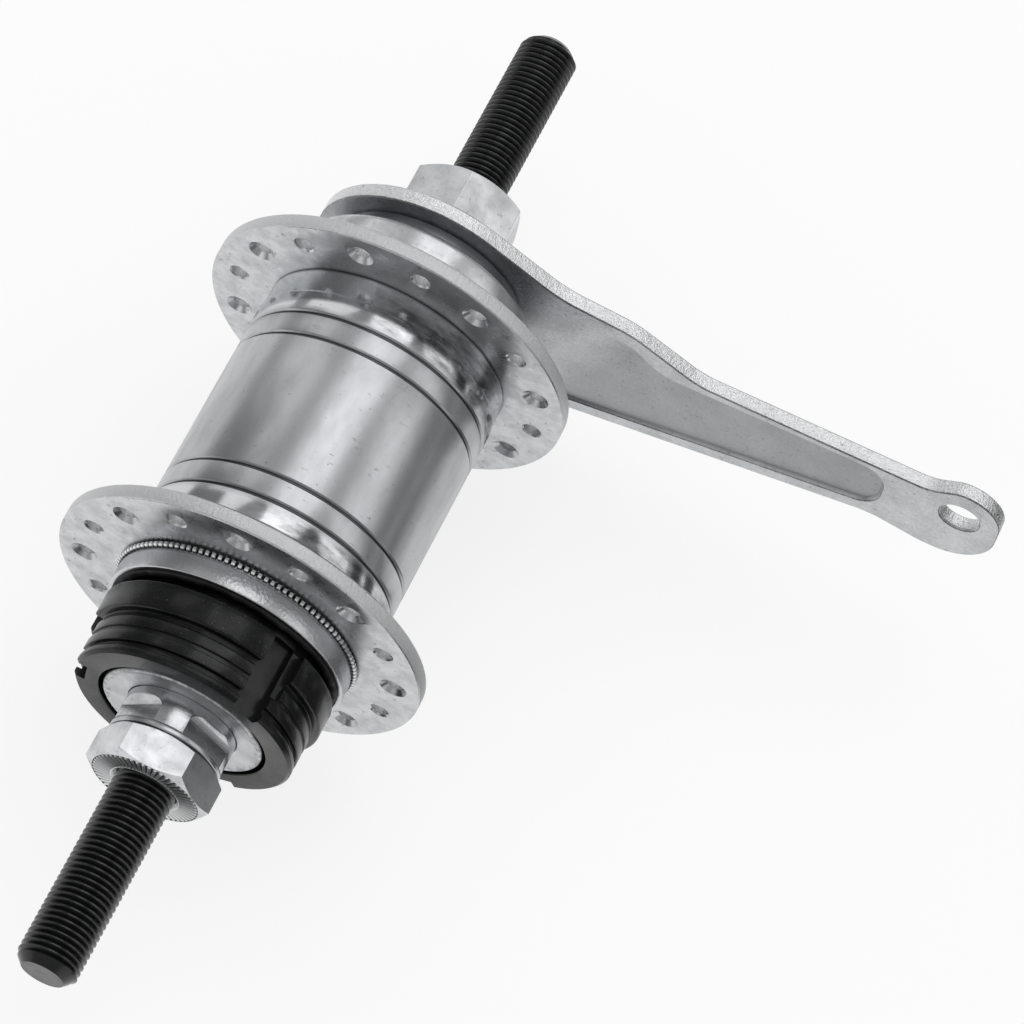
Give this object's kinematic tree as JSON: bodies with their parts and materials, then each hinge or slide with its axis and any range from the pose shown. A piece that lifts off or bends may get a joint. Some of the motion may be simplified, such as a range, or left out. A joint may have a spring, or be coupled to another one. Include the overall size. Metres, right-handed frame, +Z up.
{
  "type": "coaster brake hub",
  "caption": "Rear bicycle hub with spoke flanges, a keyed sprocket driver and a brake arm, and a working back-pedal shoe brake and ball bearings inside.",
  "frame": {"origin": "on the hub axle's axis, midway between the two outer nut faces that meet the frame's dropouts", "axes": "+Y runs along the axle towards the brake arm, so the sprocket driver is on the -Y side; +X points along the brake arm, towards its clip hole; +Z is up"},
  "size_m": [0.1241, 0.172, 0.0584],
  "materials": {
    "black_oxide": "black oxide steel, satin",
    "driver_black": "blackened case-hardened steel, satin",
    "bright_zinc": "bright zinc plated steel, fine turned marks",
    "polished_zinc": "polished zinc plated steel, near mirror",
    "flange_zinc": "zinc plated stamped steel, sheared rim",
    "arm_zinc": "zinc plated pressed steel, grainy satin",
    "hard_steel": "hardened ground steel, oiled",
    "ball_steel": "polished chromium steel",
    "cage_steel": "pressed spring steel",
    "shoe_bronze": "sintered bronze, matte",
    "spring_steel": "drawn spring steel",
    "seal_rubber": "black rubber, matte"
  },
  "bodies": {
    "axle_set": {"axle": "black_oxide", "locknut": "bright_zinc", "lock_washer": "bright_zinc", "adjusting_cone": "bright_zinc", "drive_dust_cap": "bright_zinc", "arm_cone": "hard_steel", "arm_dust_cover": "bright_zinc", "brake_arm": "arm_zinc", "arm_washer": "bright_zinc", "arm_nut": "bright_zinc"},
    "hub": {"hub_barrel": "polished_zinc", "drive_flange": "flange_zinc", "arm_flange": "flange_zinc", "drive_side_cup": "hard_steel", "arm_side_cup": "hard_steel", "mouth_seal": "seal_rubber"},
    "sprocket_driver": {"driver": "driver_black"},
    "clutch": {"clutch_cone": "hard_steel", "retarder_spring": "spring_steel"},
    "shoe_above": {"upper_shoe": "shoe_bronze"},
    "shoe_below": {"lower_shoe": "shoe_bronze"},
    "driver_bearing": {"driver_balls": "ball_steel", "driver_ball_cage": "cage_steel"},
    "drive_side_bearing": {"drive_side_balls": "ball_steel", "drive_side_cage": "cage_steel"},
    "arm_side_bearing": {"arm_side_balls": "ball_steel", "arm_side_cage": "cage_steel"}
  },
  "joints": [
    {"name": "hub_spin", "type": "hinge", "parent": "axle_set", "child": "hub", "pos_m": [0, 0, 0], "axis": [0, 1, 0], "continuous": true},
    {"name": "driver_spin", "type": "hinge", "parent": "axle_set", "child": "sprocket_driver", "pos_m": [0, 0, 0], "axis": [0, 1, 0], "continuous": true},
    {"name": "clutch_slide", "type": "slide", "parent": "axle_set", "child": "clutch", "axis": [0, 1, 0], "range_m": [-0.0015, 0.0019]},
    {"name": "upper_shoe_slide", "type": "slide", "parent": "axle_set", "child": "shoe_above", "axis": [0, 0.9397, 0.342], "range_m": [-0.0008, 0.00102]},
    {"name": "lower_shoe_slide", "type": "slide", "parent": "axle_set", "child": "shoe_below", "axis": [0, 0.9397, -0.342], "range_m": [-0.0008, 0.00102]},
    {"name": "drive_side_cage_spin", "type": "hinge", "parent": "axle_set", "child": "drive_side_bearing", "pos_m": [0, 0, 0], "axis": [0, 1, 0], "continuous": true},
    {"name": "arm_side_cage_spin", "type": "hinge", "parent": "axle_set", "child": "arm_side_bearing", "pos_m": [0, 0, 0], "axis": [0, 1, 0], "continuous": true},
    {"name": "driver_cage_spin", "type": "hinge", "parent": "axle_set", "child": "driver_bearing", "pos_m": [0, 0, 0], "axis": [0, 1, 0], "continuous": true}
  ],
  "couplings": [
    {"joint": "upper_shoe_slide", "follows": "clutch_slide", "ratio": 0.5321},
    {"joint": "lower_shoe_slide", "follows": "clutch_slide", "ratio": 0.5321},
    {"joint": "drive_side_cage_spin", "follows": "hub_spin", "ratio": 0.585},
    {"joint": "arm_side_cage_spin", "follows": "hub_spin", "ratio": 0.585},
    {"joint": "driver_cage_spin", "follows": "driver_spin", "ratio": 0.5877}
  ]
}
